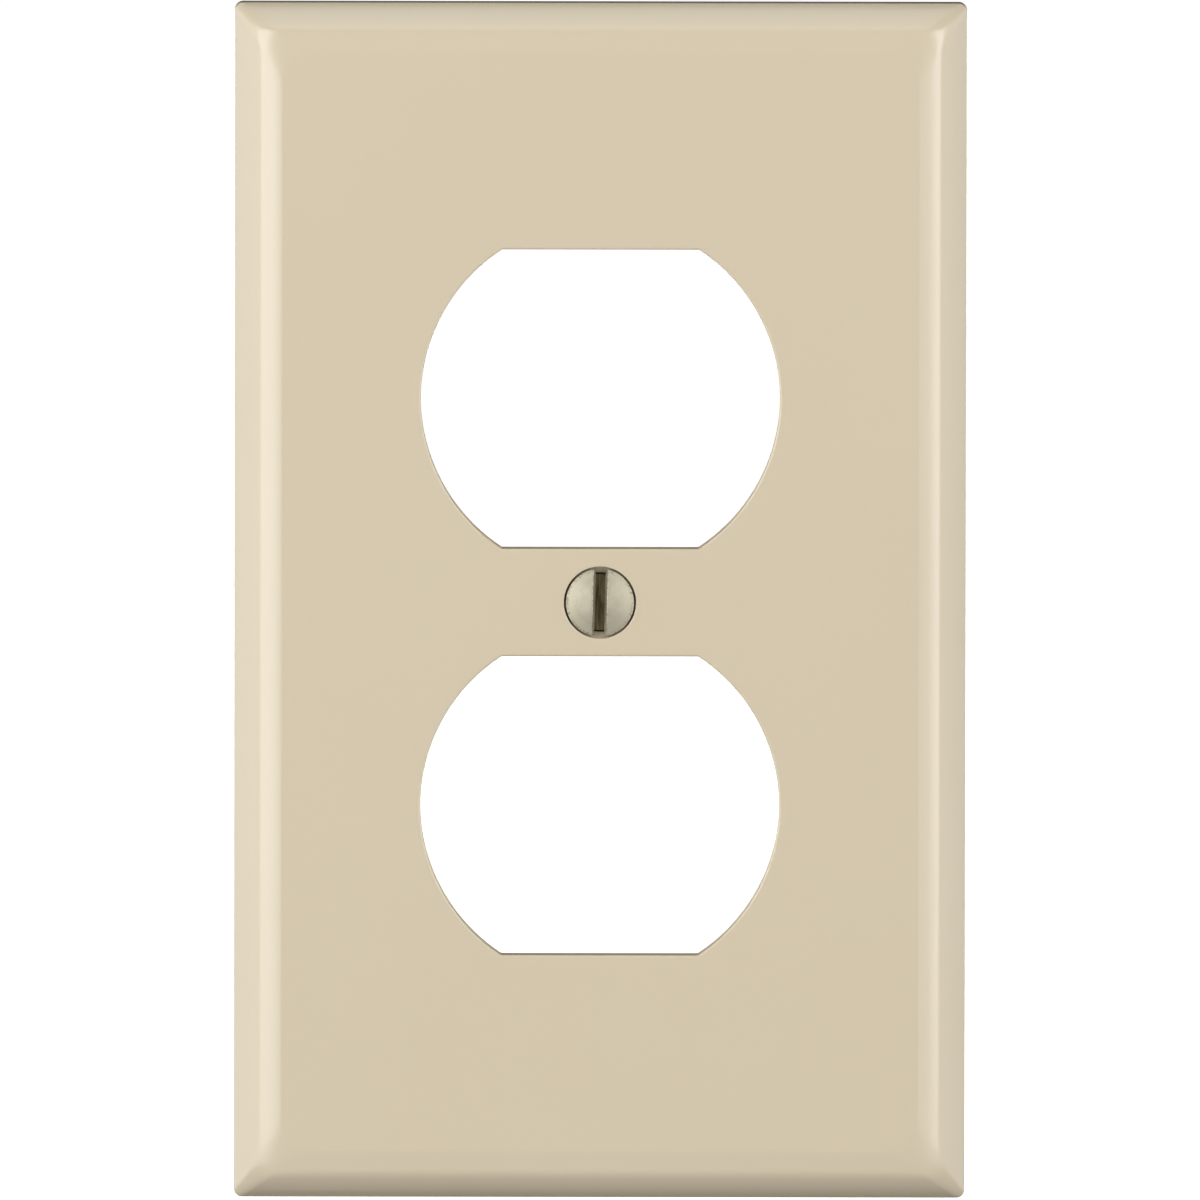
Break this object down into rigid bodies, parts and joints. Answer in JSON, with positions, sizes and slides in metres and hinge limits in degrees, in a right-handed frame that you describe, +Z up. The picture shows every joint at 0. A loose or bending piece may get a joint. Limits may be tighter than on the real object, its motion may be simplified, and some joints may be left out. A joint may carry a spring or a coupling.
{
  "type": "duplex receptacle wall plate",
  "caption": "One-gang duplex receptacle wall plate in glossy plastic, with rounded bevelled edges and a slotted oval head mounting screw.",
  "frame": {"origin": "where the mounting screw's axis crosses the wall plane, at the middle of the plate's back rim", "axes": "+Z up along the plate's long side, +Y into the wall along the screw's axis, +X to the right seen from the front; the face looks towards -Y"},
  "size_m": [0.0698, 0.0137, 0.1142],
  "materials": {
    "ivory_plastic": "gloss",
    "nickel_plated_steel": "satin"
  },
  "bodies": {
    "plate": {"wall_plate": "ivory_plastic"},
    "screw": {"mounting_screw": "nickel_plated_steel"}
  },
  "joints": [
    {"name": "screw_turn", "type": "hinge", "parent": "plate", "child": "screw", "pos_m": [0, 0, 0], "axis": [0, 1, 0], "continuous": true}
  ]
}
